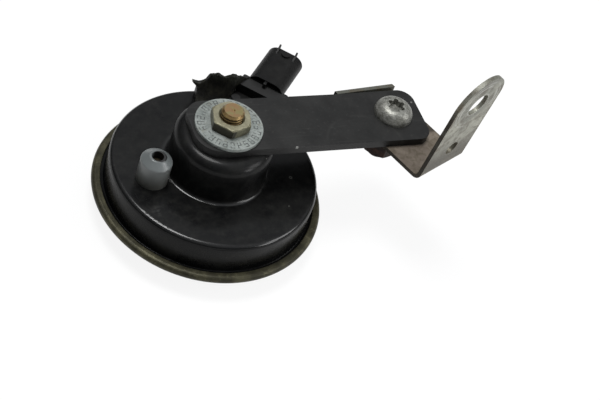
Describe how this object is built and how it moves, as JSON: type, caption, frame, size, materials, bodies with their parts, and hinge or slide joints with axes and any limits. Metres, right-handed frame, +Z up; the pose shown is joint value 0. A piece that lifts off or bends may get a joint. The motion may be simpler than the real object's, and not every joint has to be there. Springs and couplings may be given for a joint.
{
  "type": "car horn",
  "caption": "Disc-type electric car horn: flat drawn pan with a raised magnet cup, crimped diaphragm rim, side socket, and a twin-leaf bracket with an angled mounting plate.",
  "frame": {"origin": "on the horn's axis, in the plane of the tone disc's front ring, which is the lowest face", "axes": "-Z faces forward out of the horn, +Z runs up the mounting stud, +X runs along the bracket leaves towards the bolt, and +Y completes the right-handed set"},
  "size_m": [0.1289, 0.0912, 0.0843],
  "materials": {
    "tone_disc_steel": "semi-gloss black paint on pressed steel",
    "front_fastener_zinc": "dull zinc plate",
    "rim_zinc": "tarnished zinc plate, olive brown",
    "gasket_rubber": "matt black rubber",
    "pan_black_paint": "semi-gloss charcoal black paint",
    "magnet_steel": "plain low-carbon steel",
    "stud_steel": "coppery tarnished steel",
    "bobbin_plastic": "matt black plastic",
    "coil_enamel": "enamelled copper wire",
    "lead_enamel": "enamelled copper lead",
    "rivet_black": "black-coated steel",
    "spring_bronze": "rolled spring bronze",
    "contact_tungsten": "ground contact metal",
    "insulator_board": "brown fibre board",
    "rivet_zinc": "plain aluminium",
    "screw_brass": "plain brass",
    "cap_translucent": "translucent bluish white",
    "blade_tin": "tin plate",
    "connector_plastic": "dark grey moulded plastic",
    "torn_compound": "olive black sealing compound, torn",
    "leaf_black_paint": "matt black paint, lightly scratched",
    "washer_zinc": "bluish zinc plate",
    "nut_yellow_zinc": "yellow passivated zinc",
    "bolt_zinc": "mottled zinc plate",
    "nut_rusted": "dark rusted steel",
    "support_bare_steel": "bare steel, stained grey brown"
  },
  "bodies": {
    "root": {"tone_disc": "tone_disc_steel", "tone_disc_nut": "front_fastener_zinc", "tone_disc_washer": "front_fastener_zinc", "tone_disc_spacer": "front_fastener_zinc", "diaphragm": "rim_zinc", "rim_gasket": "gasket_rubber", "back_shell": "pan_black_paint", "armature": "magnet_steel", "pole_core_stud": "stud_steel", "yoke_plate": "magnet_steel", "coil_bobbin": "bobbin_plastic", "coil_winding": "coil_enamel", "coil_leads": "lead_enamel", "contact_lead": "lead_enamel", "moving_contact_arm": "spring_bronze", "fixed_contact_arm": "spring_bronze", "contact_points": "contact_tungsten", "contact_insulators": "insulator_board", "contact_rivets": "rivet_zinc", "striker_pad": "bobbin_plastic", "adjusting_screw": "screw_brass", "adjuster_cap": "cap_translucent", "terminal_blades": "blade_tin", "connector_seal": "gasket_rubber", "connector_housing": "connector_plastic", "connector_rivets": "rivet_black", "torn_seal": "torn_compound", "leaf_lower": "leaf_black_paint", "leaf_upper": "leaf_black_paint", "index_washer": "washer_zinc", "stud_nut": "nut_yellow_zinc", "bracket_bolt": "bolt_zinc", "bracket_nut": "nut_rusted", "support_plate": "support_bare_steel"}
  },
  "joints": []
}
